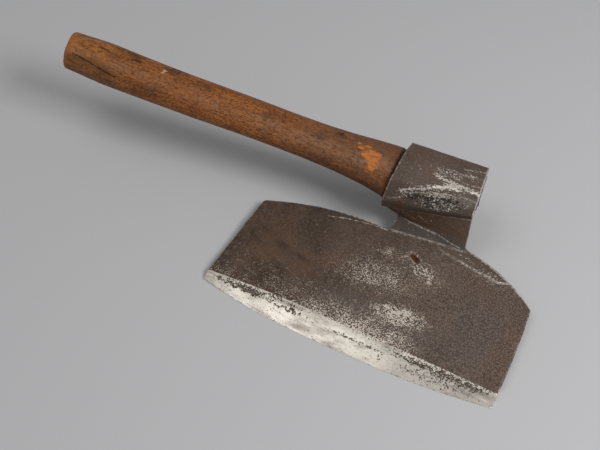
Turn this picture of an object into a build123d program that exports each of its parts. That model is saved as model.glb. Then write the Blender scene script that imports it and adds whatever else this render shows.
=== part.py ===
from build123d import *
import math
import os

# Single-bevel side axe, in millimetres. It lies on the flat back of its blade.
# Origin: on the flat back, midway between the two tips of the cutting edge.
# +X runs along the edge from heel to toe, +Y from the edge to the poll, +Z up from the back.

os.makedirs("parts", exist_ok=True)

# Blade
EDGE_LENGTH = 280.0  # tip to tip
HALF_EDGE = EDGE_LENGTH / 2
EDGE_STATIONS = (-HALF_EDGE, -105.0, -55.0, 0.0, 55.0, 105.0, HALF_EDGE)
EDGE_SAG = 10.9  # how far the middle of the edge runs below its tips
EDGE_FULLNESS_HEEL = 2.6  # larger is flatter in the middle and rounder at the tip
EDGE_FULLNESS_TOE = 2.3
EDGE_LAND = 0.3  # thickness left at the very edge
BEVEL_LINE_Y = 13.2  # where the bevel's top line crosses the middle of the blade
BEVEL_LINE_DROOP = 1.8  # how far that line falls at either tip
BEVEL_LINE_DROOP_POWER = 4
HEEL_WEAR = 8.5  # scale of the line's further fall towards the heel
HEEL_WEAR_START = 0.35  # as a fraction of the way from the middle to the heel
HEEL_WEAR_POWER = 1.6
BEVEL_TOP_Z = 6.2  # blade thickness along the top of the bevel
PLATE_TOP_Z = 9.0  # blade thickness at its top edge
BEVEL_TOP_Y = 12.5
PLATE_TOP_Y = 122.0
STEEL_THICKNESS = 4.0
STEEL_WIDTH = 42.0
STEEL_BACK_STRETCH = 1.1  # the strip's back line is drawn this much longer than the edge
HEEL_CORNER = (-132.6, 99.8)
TOE_CORNER = (134.8, 101.0)
HEEL_TOP_BULGE = (-73.5, 118.4)
TOE_SIDE_BULGE = (138.9, 50.0)
CORNER_RADIUS = 4.0

# The weld line, where the eye strap's foot meets the plate, from heel side to toe side
FOOT_HEEL = (-12.6, 122.6)
FOOT_MIDDLE = (32.0, 128.5)
FOOT_STEP = (38.5, 123.0)
FOOT_TOE = (98.0, 114.0)
FOOT_END = (114.0, 121.0)  # past the top edge, so the flange runs out to it
SHOULDER = (62.0, 134.5)  # where the top edge leaves the neck
TOP_BULGE = (98.3, 123.6)
FLANGE_TOP_Z = 9.6
NECK_FOOT_TOE = (60.0, 131.0)
NECK_REAR_HEEL = (-12.0, 134.0)
NECK_REAR_TOE = (50.0, 140.0)
FOOT_PLAN_HEEL = -20.0
FOOT_PLAN_BACK = 160.0

# Neck, from the foot up into the socket's underside. Each level has its height at the origin and its
# fall in degrees towards the toe, then the front face's heel side, middle and toe side, then the rear
# face's toe side and heel side. The tilted level is the fold between the neck's two front faces.
NECK_LEVELS = (
    (0.0, 0.0, FOOT_HEEL, FOOT_MIDDLE, NECK_FOOT_TOE, NECK_REAR_TOE, NECK_REAR_HEEL),
    (PLATE_TOP_Z, 0.0, FOOT_HEEL, FOOT_MIDDLE, NECK_FOOT_TOE, (49.5, 143.0), (-12.0, 139.0)),
    (20.7, 9.5, (-10.6, 132.4), (29.0, 133.6), (60.0, 131.8), (49.0, 147.5), (-10.0, 146.0)),
    (42.5, 0.0, (-23.5, 122.5), (31.0, 140.5), (56.5, 146.5), (45.0, 160.0), (-22.0, 148.0)),
)

# Rusty recess in the blade's face
RECESS_CENTRE = (21.4, 105.0)
RECESS_LENGTH = 13.0
RECESS_WIDTH = 4.6
RECESS_DEPTH = 1.6
RECESS_ANGLE = -31.0

# Socket: the middle of each open end, and the direction in which that end faces the toe
MOUTH_CENTRE = Vector(-22.0, 151.0, 55.0)
MOUTH_NORMAL = Vector(0.992, 0.022, -0.123)
FRONT_CENTRE = Vector(54.0, 166.5, 51.0)
FRONT_NORMAL = Vector(0.984, 0.151, -0.091)
# Corners of the socket's section before rounding, as (towards the poll, up) from the end's middle:
# poll underneath, poll on top, crown, ridge, nose, blade side underneath. Then the rounding radii.
MOUTH_CORNERS = ((31.0, -20.0), (32.5, 15.0), (5.0, 25.5), (-25.0, 20.0), (-34.0, 0.0), (-28.0, -21.0))
MOUTH_RADII = (14.0, 13.0, 40.0, 9.0, 12.0, 14.0)
FRONT_CORNERS = ((24.5, -14.0), (25.5, 13.5), (6.0, 17.0), (-13.0, 16.0), (-23.5, -4.0), (-19.0, -16.0))
FRONT_RADII = (8.0, 8.0, 30.0, 4.0, 6.0, 8.0)

# Handle. Each station has a distance from the butt as a fraction of the length to the mouth, then the
# half width, half height and the sideways shift of the section's middle towards the poll. The first
# station lies past the butt, whose end is sawn off askew.
HANDLE_STATIONS = (
    (-0.04, 21.3, 16.7, 0.0),
    (0.14, 21.2, 16.6, -0.6),
    (0.30, 20.6, 16.2, -0.8),
    (0.54, 19.7, 15.5, 0.8),
    (0.75, 19.9, 15.7, 1.4),
    (0.87, 22.3, 16.8, 1.7),
    (0.945, 25.4, 17.6, 1.3),
)
BUTT_CENTRE = Vector(-346.1, 119.1, 88.0)
BUTT_SAW_PAST = 5.5  # how far past the butt's centre the saw cut crosses the axis
BUTT_SAW_TURN = 8.0  # degrees askew, which leaves the poll side the longer
BUTT_CHAMFER = 3.0
FACET_LENGTH = 52.0  # how far the whittled flats run up from the butt
FACET_COUNT = 8
FACET_DEPTH = 2.5  # at the butt
FACET_TURN = 12.0
FACET_CUT = (135.0, 60.0, 15.0)  # length, width and depth of what is cut away above each flat
BUTT_CUT = (90.0, 90.0, 30.0)  # width, height and depth of what is sawn off
TENON_START = 4.0  # the tenon starts this far short of the socket's mouth
TENON_MOUTH = (27.6, 18.2)  # half width, half height
TENON_FRONT = (17.5, 12.0)
TENON_FRONT_SHIFT = 3.0  # towards the poll, which leaves the nose its full wall
TENON_PROUD = 0.6
TENON_RUN_OUT = 12.0  # how far past the socket's front the hole's shape runs

# Wedges, at the tenon's front end
WOOD_WEDGE_P = 12.5  # towards the poll from the tenon's middle
WOOD_WEDGE_WIDTH = 18.0
WOOD_WEDGE_THICKNESS = 5.0
WOOD_WEDGE_LENGTH = 34.0
WOOD_WEDGE_PROUD = 1.4
IRON_WEDGE_P = -7.0
IRON_WEDGE_WIDTH = 17.0
IRON_WEDGE_THICKNESS = 3.2
IRON_WEDGE_LENGTH = 26.0
IRON_WEDGE_PROUD = 0.6
IRON_WEDGE_TURN = 14.0
WEDGE_TIP = 0.8

# How far the shapes that cut away metal and wood reach past it
CUT_BEFORE = 20.0
CUT_BEHIND = 12.0
CUT_SIDEWAYS = 15.0
CUT_HEIGHT = 40.0
FRONT_CUT_WIDTH = 120.0
FRONT_CUT_LENGTH = 60.0
PLATE_ALLOWANCE = 3.0  # the plate starts this much too thick


def edge_y(x):
    """Y of the cutting edge: flat in the middle, drawn up at both ends."""
    fullness = EDGE_FULLNESS_HEEL if x < 0 else EDGE_FULLNESS_TOE
    return -EDGE_SAG * (1 - abs(x / HALF_EDGE) ** fullness)


def bevel_y(x):
    """Y of the line where the bevel meets the blade's face."""
    heel_fall = HEEL_WEAR * max(0.0, -x / HALF_EDGE - HEEL_WEAR_START) ** HEEL_WEAR_POWER
    return BEVEL_LINE_Y - heel_fall - BEVEL_LINE_DROOP * (x / HALF_EDGE) ** BEVEL_LINE_DROOP_POWER


def face_z(y):
    """Height of the tapering face above the flat back."""
    slope = (PLATE_TOP_Z - BEVEL_TOP_Z) / (PLATE_TOP_Y - BEVEL_TOP_Y)
    return BEVEL_TOP_Z + slope * (y - BEVEL_TOP_Y)


def section_plane(centre, normal):
    """A plane across the socket or handle: local x to the poll, local y up."""
    return Plane(origin=centre, x_dir=Vector(-normal.Y, normal.X, 0), z_dir=normal)


edge_points = [(x, edge_y(x)) for x in EDGE_STATIONS]
steel_back_points = [(x * STEEL_BACK_STRETCH, y + STEEL_WIDTH) for x, y in edge_points]
handle_axis = (MOUTH_CENTRE - BUTT_CENTRE).normalized()
handle_length = (MOUTH_CENTRE - BUTT_CENTRE).length
eye_axis = (FRONT_CENTRE - MOUTH_CENTRE).normalized()

# Everything above the bevel, cut away from the plate and from the steel
with BuildPart() as bevel_void:
    for x in EDGE_STATIONS:
        low = Vector(0, edge_y(x), EDGE_LAND)
        high = Vector(0, bevel_y(x), face_z(bevel_y(x)))
        run = (high - low).normalized()
        foot = low - run * CUT_BEFORE
        head = high + run * CUT_BEHIND
        past_tip = math.copysign(CUT_SIDEWAYS, x) if abs(x) == HALF_EDGE else 0
        with BuildSketch(Plane(origin=(x + past_tip, 0, 0), x_dir=(0, 1, 0), z_dir=(1, 0, 0))):
            with BuildLine():
                Polyline(
                    (foot.Y, foot.Z), (head.Y, head.Z), (head.Y, CUT_HEIGHT), (foot.Y, CUT_HEIGHT), close=True
                )
            make_face()
    loft()

# Everything above the tapering face
with BuildPart() as face_void:
    taper = math.degrees(math.atan((PLATE_TOP_Z - BEVEL_TOP_Z) / (PLATE_TOP_Y - BEVEL_TOP_Y)))
    face_plane = Plane(origin=(0, BEVEL_TOP_Y, BEVEL_TOP_Z)).rotated((taper, 0, 0))
    with BuildSketch(face_plane):
        Rectangle(2 * EDGE_LENGTH, 2 * EDGE_LENGTH)
    extrude(amount=CUT_HEIGHT)

# Plan of the whole head, with the foot of the eye strap
with BuildSketch() as head_plan:
    with BuildLine():
        Spline(edge_points)
        Line(edge_points[0], HEEL_CORNER)
        ThreePointArc(HEEL_CORNER, HEEL_TOP_BULGE, FOOT_HEEL)
        Polyline(FOOT_HEEL, NECK_REAR_HEEL, NECK_REAR_TOE, SHOULDER)
        ThreePointArc(SHOULDER, TOP_BULGE, TOE_CORNER)
        ThreePointArc(TOE_CORNER, TOE_SIDE_BULGE, edge_points[-1])
    make_face()
    corners = [head_plan.vertices().sort_by_distance(place)[0] for place in (HEEL_CORNER, TOE_CORNER)]
    fillet(corners, CORNER_RADIUS)

# The part of that plan that belongs to the eye strap
with BuildSketch() as foot_plan:
    add(head_plan.sketch)
    with BuildLine():
        far_corners = ((FOOT_END[0], FOOT_PLAN_BACK), (FOOT_PLAN_HEEL, FOOT_PLAN_BACK))
        Polyline(FOOT_HEEL, FOOT_MIDDLE, FOOT_STEP, FOOT_TOE, FOOT_END, *far_corners, close=True)
    make_face(mode=Mode.INTERSECT)

# The part of it under which the hard steel lies
with BuildSketch() as steel_plan:
    add(head_plan.sketch)
    with BuildLine():
        back = Spline(steel_back_points)
        Polyline(back @ 0, (-2 * HALF_EDGE, -HALF_EDGE), (2 * HALF_EDGE, -HALF_EDGE), back @ 1)
    make_face(mode=Mode.INTERSECT)

# Hard steel strip along the edge, laid on the flat back
with BuildPart() as edge_steel:
    with BuildSketch():
        add(steel_plan.sketch)
    extrude(amount=STEEL_THICKNESS)
    add(bevel_void.part, mode=Mode.SUBTRACT)

# Iron plate of the blade
with BuildPart() as blade_plate:
    with BuildSketch():
        add(head_plan.sketch)
        add(foot_plan.sketch, mode=Mode.SUBTRACT)
    extrude(amount=PLATE_TOP_Z + PLATE_ALLOWANCE)
    with BuildSketch():
        add(steel_plan.sketch)
    extrude(amount=STEEL_THICKNESS, mode=Mode.SUBTRACT)
    add(face_void.part, mode=Mode.SUBTRACT)
    add(bevel_void.part, mode=Mode.SUBTRACT)
    recess_floor = face_z(RECESS_CENTRE[1]) - RECESS_DEPTH
    with BuildSketch(Plane.XY.offset(recess_floor)):
        with Locations(RECESS_CENTRE):
            SlotOverall(RECESS_LENGTH, RECESS_WIDTH, rotation=RECESS_ANGLE)
    extrude(amount=CUT_HEIGHT, mode=Mode.SUBTRACT)

# The tenon, which is also the shape of the hole through the socket
tenon_start = MOUTH_CENTRE - handle_axis * TENON_START
tenon_end = FRONT_CENTRE + eye_axis * TENON_RUN_OUT
with BuildPart() as tenon:
    with BuildSketch(section_plane(tenon_start, handle_axis)):
        Ellipse(*TENON_MOUTH)
    with BuildSketch(section_plane(tenon_end, eye_axis)):
        with Locations((TENON_FRONT_SHIFT, 0)):
            Ellipse(*TENON_FRONT)
    loft()

# Everything past the tenon's front end
with BuildPart() as front_void:
    with BuildSketch(section_plane(FRONT_CENTRE + eye_axis * TENON_PROUD, FRONT_NORMAL)):
        Rectangle(FRONT_CUT_WIDTH, FRONT_CUT_WIDTH)
    extrude(amount=FRONT_CUT_LENGTH)

# Strap: socket, neck and foot
with BuildPart() as eye_strap:
    ends = (
        (MOUTH_CENTRE, MOUTH_NORMAL, MOUTH_CORNERS, MOUTH_RADII),
        (FRONT_CENTRE, FRONT_NORMAL, FRONT_CORNERS, FRONT_RADII),
    )
    for centre, normal, corners, radii in ends:
        with BuildSketch(section_plane(centre, normal)):
            with BuildLine():
                FilletPolyline(*corners, radius=radii, close=True)
            make_face()
    loft()
    for height, fall, *corners in NECK_LEVELS:
        tilt = math.radians(fall)
        level = Plane(
            origin=(0, 0, height),
            x_dir=(math.cos(tilt), 0, -math.sin(tilt)),
            z_dir=(math.sin(tilt), 0, math.cos(tilt)),
        )
        with BuildSketch(level):
            with BuildLine():
                Polyline(*corners, close=True)
            make_face()
    loft(ruled=True)
    with BuildSketch():
        add(foot_plan.sketch)
    extrude(amount=FLANGE_TOP_Z)
    add(tenon.part, mode=Mode.SUBTRACT)

# Wedges, in a frame at the socket's front: x out along the eye, y to the poll, z up
poll_way = Vector(-eye_axis.Y, eye_axis.X, 0).normalized()
up_way = eye_axis.cross(poll_way)

with BuildPart() as wood_wedge:
    wedge_plane = Plane(origin=FRONT_CENTRE + poll_way * WOOD_WEDGE_P, x_dir=eye_axis, z_dir=up_way)
    with BuildSketch(wedge_plane):
        with BuildLine():
            Polyline(
                (WOOD_WEDGE_PROUD, WOOD_WEDGE_THICKNESS / 2),
                (WOOD_WEDGE_PROUD - WOOD_WEDGE_LENGTH, WEDGE_TIP / 2),
                (WOOD_WEDGE_PROUD - WOOD_WEDGE_LENGTH, -WEDGE_TIP / 2),
                (WOOD_WEDGE_PROUD, -WOOD_WEDGE_THICKNESS / 2),
                close=True,
            )
        make_face()
    extrude(amount=WOOD_WEDGE_WIDTH / 2, both=True)

with BuildPart() as iron_wedge:
    wedge_plane = Plane(origin=FRONT_CENTRE + poll_way * IRON_WEDGE_P, x_dir=eye_axis, z_dir=up_way)
    with BuildSketch(wedge_plane.rotated((IRON_WEDGE_TURN, 0, 0))):
        with BuildLine():
            Polyline(
                (IRON_WEDGE_PROUD, IRON_WEDGE_THICKNESS / 2),
                (IRON_WEDGE_PROUD - IRON_WEDGE_LENGTH, WEDGE_TIP / 2),
                (IRON_WEDGE_PROUD - IRON_WEDGE_LENGTH, -WEDGE_TIP / 2),
                (IRON_WEDGE_PROUD, -IRON_WEDGE_THICKNESS / 2),
                close=True,
            )
        make_face()
    extrude(amount=IRON_WEDGE_WIDTH / 2, both=True)

# Handle: oval grip, whittled flats at the butt, and the tenon with a kerf for each wedge
with BuildPart() as handle:
    for fraction, half_width, half_height, shift in HANDLE_STATIONS:
        station = BUTT_CENTRE + handle_axis * (fraction * handle_length)
        with BuildSketch(section_plane(station, handle_axis)):
            with Locations((shift, 0)):
                Ellipse(half_width, half_height)
    with BuildSketch(section_plane(tenon_start, handle_axis)):
        Ellipse(*TENON_MOUTH)
    loft()
    butt_plane = section_plane(BUTT_CENTRE, handle_axis)
    askew = math.radians(BUTT_SAW_TURN)
    saw_origin = BUTT_CENTRE - handle_axis * BUTT_SAW_PAST
    saw_normal = -handle_axis * math.cos(askew) - butt_plane.x_dir * math.sin(askew)
    with BuildSketch(Plane(origin=saw_origin, z_dir=saw_normal)):
        Rectangle(*BUTT_CUT[:2])
    extrude(amount=BUTT_CUT[2], mode=Mode.SUBTRACT)
    butt_face = handle.faces().sort_by(Axis(BUTT_CENTRE, handle_axis))[0]
    chamfer(butt_face.edges(), BUTT_CHAMFER)
    half_width, half_height = HANDLE_STATIONS[0][1:3]
    for k in range(FACET_COUNT):
        angle = math.radians(FACET_TURN + k * 360 / FACET_COUNT)
        reach = math.hypot(half_width * math.cos(angle), half_height * math.sin(angle))
        outward = butt_plane.x_dir * math.cos(angle) + butt_plane.y_dir * math.sin(angle)
        facet_origin = BUTT_CENTRE + outward * (reach - FACET_DEPTH)
        facet_normal = outward - handle_axis * (FACET_DEPTH / FACET_LENGTH)
        with BuildSketch(Plane(origin=facet_origin, x_dir=handle_axis, z_dir=facet_normal)):
            Rectangle(*FACET_CUT[:2])
        extrude(amount=FACET_CUT[2], mode=Mode.SUBTRACT)
    add(tenon.part)
    add(front_void.part, mode=Mode.SUBTRACT)
    add(wood_wedge.part, mode=Mode.SUBTRACT)
    add(iron_wedge.part, mode=Mode.SUBTRACT)

PIECES = (
    ("blade_plate", blade_plate),
    ("edge_steel", edge_steel),
    ("eye_strap", eye_strap),
    ("handle", handle),
    ("wood_wedge", wood_wedge),
    ("iron_wedge", iron_wedge),
)
for name, piece in PIECES:
    piece.part.label = name
    export_step(piece.part, f"parts/{name}.step")
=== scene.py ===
import math

import bmesh
import bpy
import numpy as np
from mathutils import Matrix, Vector, noise
from mathutils.bvhtree import BVHTree
from mathutils.kdtree import KDTree


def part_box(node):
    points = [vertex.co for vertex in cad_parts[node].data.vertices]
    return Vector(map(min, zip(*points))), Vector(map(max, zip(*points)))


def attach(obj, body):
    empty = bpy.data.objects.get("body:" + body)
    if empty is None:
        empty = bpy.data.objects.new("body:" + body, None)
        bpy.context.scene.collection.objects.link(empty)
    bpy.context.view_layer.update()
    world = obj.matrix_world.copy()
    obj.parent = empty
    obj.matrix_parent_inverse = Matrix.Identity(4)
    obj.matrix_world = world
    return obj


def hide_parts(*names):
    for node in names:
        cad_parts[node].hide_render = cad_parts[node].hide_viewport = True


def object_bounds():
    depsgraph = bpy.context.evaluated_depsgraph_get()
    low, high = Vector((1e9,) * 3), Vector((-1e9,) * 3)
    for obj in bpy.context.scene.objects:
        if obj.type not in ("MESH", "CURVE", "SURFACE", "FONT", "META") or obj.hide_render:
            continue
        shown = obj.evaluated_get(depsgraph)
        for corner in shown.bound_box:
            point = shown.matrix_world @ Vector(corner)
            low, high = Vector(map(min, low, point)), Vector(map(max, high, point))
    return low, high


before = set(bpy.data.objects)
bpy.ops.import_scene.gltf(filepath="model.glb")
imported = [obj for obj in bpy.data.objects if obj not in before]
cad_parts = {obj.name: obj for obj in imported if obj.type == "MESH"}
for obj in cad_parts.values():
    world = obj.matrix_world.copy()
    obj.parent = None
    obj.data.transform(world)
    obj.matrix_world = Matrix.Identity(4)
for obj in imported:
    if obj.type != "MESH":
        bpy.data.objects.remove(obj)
cad_low, cad_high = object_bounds()

MM = 0.001

# Camera: it looks at a point on the floor, from an azimuth and elevation in degrees
CAMERA_AIM = Vector((-0.0917, 0.0950, 0.0))
CAMERA_AZIMUTH = 27.92
CAMERA_ELEVATION = 53.0
CAMERA_DISTANCE = 1.0937
CAMERA_LENS = 70.0

# Floor and light: each light's name, direction from the axe, distance, size and power
FLOOR_HALF_WIDTH = 4.0
FLOOR_COLOUR = (0.52, 0.52, 0.53)
FLOOR_ROUGHNESS = 0.6
WORLD_STRENGTH = 0.30
LIGHTS = (
    ("key", (0.70, -0.06, 0.72), 1.5, 0.6, 13),
    ("overhead", (-0.35, -0.05, 0.95), 1.6, 0.9, 4),
)

# Places on the axe, in metres, as part.py has them
MOUTH_CENTRE = Vector((-0.0220, 0.1510, 0.0550))
BUTT_CENTRE = Vector((-0.3461, 0.1191, 0.0880))
HANDLE_LENGTH = (MOUTH_CENTRE - BUTT_CENTRE).length
HANDLE_AXIS = (MOUTH_CENTRE - BUTT_CENTRE).normalized()
HANDLE_TURN = tuple(HANDLE_AXIS.to_track_quat("X", "Z").to_euler())
BEVEL_TOP = 6.2 * MM
BEVEL_TOP_Y = 12.5 * MM
BEVEL_BAND_Y = 18 * MM
FACE_SLOPE = 0.02557  # rise of the face for each metre up the plate

# Hollows in the shape, in millimetres: centre, radii and turn about Z. The materials mark the same places.
CHIP_PLACE = (-45, 145, 74)
NICK_PLACE = (-254, 129, 95)
CHIP_HOLLOW = (CHIP_PLACE, (12, 7, 9), 0.25)
CHIP_LOWER_HOLLOW = ((-41, 139, 72), (6, 7, 9), 0.2)
NICK_HOLLOW = (NICK_PLACE, (1.6, 3.2, 4), -0.5)
SOCKET_PIT_ZONE = ((22, 136, 58), (24, 10, 9), 0.45)

# How finely each kind of surface is divided, and how much finer beside drawn lines
GRID_STEP = 1.25 * MM
IRON_VOXEL = 0.9 * MM
WOOD_VOXEL = 1.05 * MM
WOOD_WEDGE_VOXEL = 0.5 * MM
IRON_WEDGE_VOXEL = 0.4 * MM
LINE_REACH = 2.0 * MM
LINE_CUTS = 2

# The spacing of the points that stand for arrises and for drawn lines
ARRIS_STEP = 0.5 * MM
LINE_STEP = 0.4 * MM

# The angle from which an edge is an arris, and from which it is shaded sharp
ARRIS_ANGLE = math.radians(28)
SHARP_ANGLE = math.radians(32)

# How deep the wear goes
FORGING_DEPTH = 0.22 * MM
HAMMER_DEPTH = 0.08 * MM
ARRIS_WEAR = 0.55 * MM
BACK_PIT_DEPTH = 0.35 * MM
OUTLINE_NICKS = 0.22 * MM
STRAP_FORGING_DEPTH = 0.28 * MM
STRAP_HAMMER_DEPTH = 0.10 * MM
STRAP_PIT_DEPTH = 0.55 * MM
WOOD_WAVE_DEPTH = 0.32 * MM
WOOD_GROOVE_DEPTH = 0.13 * MM
CHIP_DEPTH = 0.55 * MM
NICK_DEPTH = 0.8 * MM
MOUTH_GAP = 0.9 * MM


# ---------------------------------------------------------------- meshes

def cad_mesh(node):
    """A copy of a CAD node's mesh with its split corners joined."""
    bm = bmesh.new()
    bm.from_mesh(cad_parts[node].data)
    bmesh.ops.remove_doubles(bm, verts=bm.verts, dist=0.002 * MM)
    return bm


def add_piece(bm, name, node):
    """Turns a bmesh into a piece that stands for a CAD node."""
    mesh = bpy.data.meshes.new(name)
    bm.to_mesh(mesh)
    bm.free()
    piece = bpy.data.objects.new(name, mesh)
    bpy.context.scene.collection.objects.link(piece)
    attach(piece, "root")
    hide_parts(node)
    return piece


def apply_modifiers(piece):
    """Makes what the modifiers show the piece's own mesh."""
    graph = bpy.context.evaluated_depsgraph_get()
    mesh = bpy.data.meshes.new_from_object(piece.evaluated_get(graph))
    piece.modifiers.clear()
    old = piece.data
    piece.data = mesh
    mesh.name = piece.name
    bpy.data.meshes.remove(old)


def voxelled(node, name, voxel, rounding):
    """A CAD node as an even skin of small quads, with its arrises worn round."""
    piece = add_piece(cad_mesh(node), name, node)
    remesh = piece.modifiers.new("Remesh", "REMESH")
    remesh.mode = "VOXEL"
    remesh.voxel_size = voxel
    remesh.use_smooth_shade = True
    smooth = piece.modifiers.new("Smooth", "SMOOTH")
    smooth.factor = 0.5
    smooth.iterations = rounding
    apply_modifiers(piece)
    return piece


def gridded(node, name, step):
    """A CAD node cut into small squares, which keeps its thin edges sharp."""
    bm = cad_mesh(node)
    flat = math.radians(0.3)
    bmesh.ops.dissolve_limit(bm, angle_limit=flat, verts=bm.verts, edges=bm.edges)
    low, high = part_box(node)
    for axis in (0, 1, 2):
        normal = Vector((0.0, 0.0, 0.0))
        normal[axis] = 1.0
        uncut = bm.faces[:]
        for k in range(1, int((high[axis] - low[axis]) / step) + 1):
            cut = low[axis] + k * step
            uncut = [f for f in uncut if f.is_valid and max(v.co[axis] for v in f.verts) > cut]
            around = set(uncut)
            for face in uncut:
                around.update(face.edges)
                around.update(face.verts)
            made = bmesh.ops.bisect_plane(
                bm, geom=list(around), dist=0.001 * MM, plane_co=normal * cut, plane_no=normal
            )
            uncut = [g for g in made["geom"] if isinstance(g, bmesh.types.BMFace)]
    return add_piece(bm, name, node)


def places(piece):
    """The piece's points as an array, in metres."""
    flat = np.zeros(len(piece.data.vertices) * 3, np.float32)
    piece.data.vertices.foreach_get("co", flat)
    return flat.reshape(-1, 3).astype(float)


def normals(piece):
    """The directions that the piece's points face."""
    flat = np.zeros(len(piece.data.vertices) * 3, np.float32)
    piece.data.vertex_normals.foreach_get("vector", flat)
    return flat.reshape(-1, 3).astype(float)


def move_points(piece, points):
    piece.data.vertices.foreach_set("co", points.astype(np.float32).ravel())
    piece.data.update()


def store(piece, name, values):
    """Keeps one number for each point, for the materials to read."""
    attribute = piece.data.attributes.new(name, "FLOAT", "POINT")
    attribute.data.foreach_set("value", np.asarray(values, np.float32))


def rough(points, size, octaves=3, seed=0.0):
    """Seeded noise between about -1 and 1 with bumps of a given size in metres."""
    shift = Vector((seed * 7.31, seed * 3.17, seed * 5.53))
    scale = 1.0 / size
    return np.array([noise.fractal(Vector(p) * scale + shift, 1.0, 2.0, octaves) for p in points])


def soft_step(low, high, values):
    """0 below low and 1 above high, or the other way round where low is the larger."""
    t = np.clip((values - low) / (high - low), 0.0, 1.0)
    return t * t * (3 - 2 * t)


# ---------------------------------------------------------------- camera, floor and light

def add_camera():
    azimuth, elevation = math.radians(CAMERA_AZIMUTH), math.radians(CAMERA_ELEVATION)
    back = Vector((
        math.sin(azimuth) * math.cos(elevation),
        -math.cos(azimuth) * math.cos(elevation),
        math.sin(elevation),
    ))
    data = bpy.data.cameras.new("camera")
    data.lens = CAMERA_LENS
    data.clip_start = 0.01
    camera = bpy.data.objects.new("camera", data)
    camera.location = CAMERA_AIM + back * CAMERA_DISTANCE
    camera.rotation_euler = (-back).to_track_quat("-Z", "Y").to_euler()
    bpy.context.scene.collection.objects.link(camera)
    bpy.context.scene.camera = camera


def add_light(name, direction, distance, size, power):
    """A square softbox that faces the middle of the axe."""
    data = bpy.data.lights.new(name, "AREA")
    data.shape = "SQUARE"
    data.size = size
    data.energy = power
    light = bpy.data.objects.new(name, data)
    toward = Vector(direction).normalized()
    middle = (cad_low + cad_high) / 2
    light.location = middle + toward * distance
    light.rotation_euler = toward.to_track_quat("Z", "Y").to_euler()
    bpy.context.scene.collection.objects.link(light)


def add_stage():
    """The pale floor, an even surrounding light and two softboxes."""
    bm = bmesh.new()
    bmesh.ops.create_grid(bm, x_segments=4, y_segments=4, size=FLOOR_HALF_WIDTH)
    mesh = bpy.data.meshes.new("floor")
    bm.to_mesh(mesh)
    bm.free()
    floor = bpy.data.objects.new("floor", mesh)
    bpy.context.scene.collection.objects.link(floor)
    material = bpy.data.materials.new("floor")
    material.use_nodes = True
    shader = material.node_tree.nodes["Principled BSDF"]
    shader.inputs["Base Color"].default_value = (*FLOOR_COLOUR, 1)
    shader.inputs["Roughness"].default_value = FLOOR_ROUGHNESS
    mesh.materials.append(material)
    world = bpy.data.worlds.new("studio")
    world.use_nodes = True
    background = world.node_tree.nodes["Background"]
    background.inputs["Color"].default_value = (1, 1, 1, 1)
    background.inputs["Strength"].default_value = WORLD_STRENGTH
    bpy.context.scene.world = world
    # Standard keeps the colours comparable with the photo's
    bpy.context.scene.view_settings.view_transform = "Standard"
    for light in LIGHTS:
        add_light(*light)


# ---------------------------------------------------------------- materials

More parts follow.
